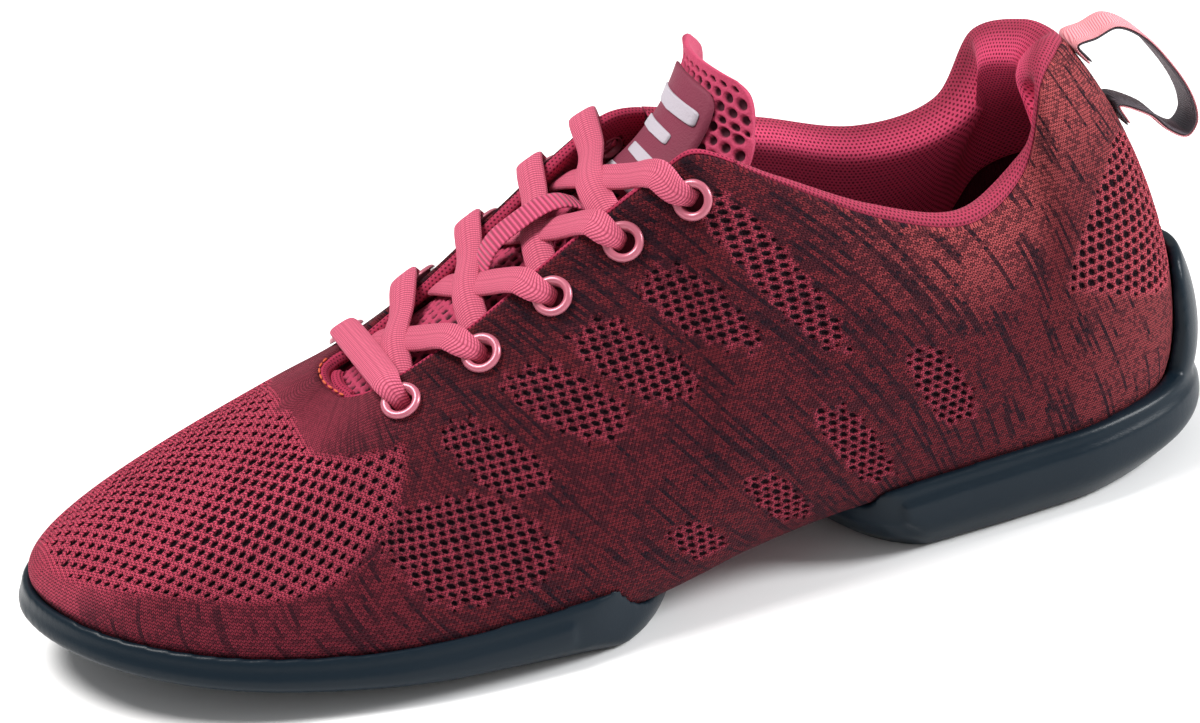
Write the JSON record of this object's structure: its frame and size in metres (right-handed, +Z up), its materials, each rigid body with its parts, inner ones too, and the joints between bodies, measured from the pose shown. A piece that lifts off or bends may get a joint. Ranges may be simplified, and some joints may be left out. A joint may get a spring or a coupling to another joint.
{
  "type": "dance sneaker",
  "caption": "Low lace-up dance sneaker for the left foot: knitted upper, padded collar, mesh tongue, flat lace through ringed eyelets, split rubber sole and a heel pull loop.",
  "frame": {"origin": "under the middle of the shoe's bounding box, on the floor it stands on", "axes": "+Z up, toe towards -X and heel towards +X, outer side of the left foot towards -Y"},
  "size_m": [0.263, 0.0916, 0.1067],
  "materials": {
    "knit": "marled fine knit, crimson and dark navy yarn",
    "pink_mesh": "pink spacer mesh",
    "sole_rubber": "satin slate-blue moulded sole",
    "board": "felted board",
    "foam": "fabric-covered foam",
    "lace": "flat woven lace",
    "eyelet_enamel": "satin pink enamel",
    "patch": "soft plain patch",
    "webbing": "woven tape"
  },
  "bodies": {
    "root": {"upper": "knit", "strobel_sole": "board", "insole": "foam", "outsole_forefoot": "sole_rubber", "outsole_heel": "sole_rubber", "collar_lining": "pink_mesh", "throat_facing": "pink_mesh", "tongue": "pink_mesh", "tongue_badge": "patch", "lace_keeper": "webbing", "pull_loop": "webbing", "eyelet_outer_1": "eyelet_enamel", "eyelet_outer_2": "eyelet_enamel", "eyelet_outer_3": "eyelet_enamel", "eyelet_outer_4": "eyelet_enamel", "eyelet_outer_5": "eyelet_enamel", "eyelet_inner_1": "eyelet_enamel", "eyelet_inner_2": "eyelet_enamel", "eyelet_inner_3": "eyelet_enamel", "eyelet_inner_4": "eyelet_enamel", "eyelet_inner_5": "eyelet_enamel", "lace_bar_1": "lace", "lace_cross_2": "lace", "lace_cross_3": "lace", "lace_cross_4": "lace", "lace_cross_5": "lace"}
  },
  "joints": []
}
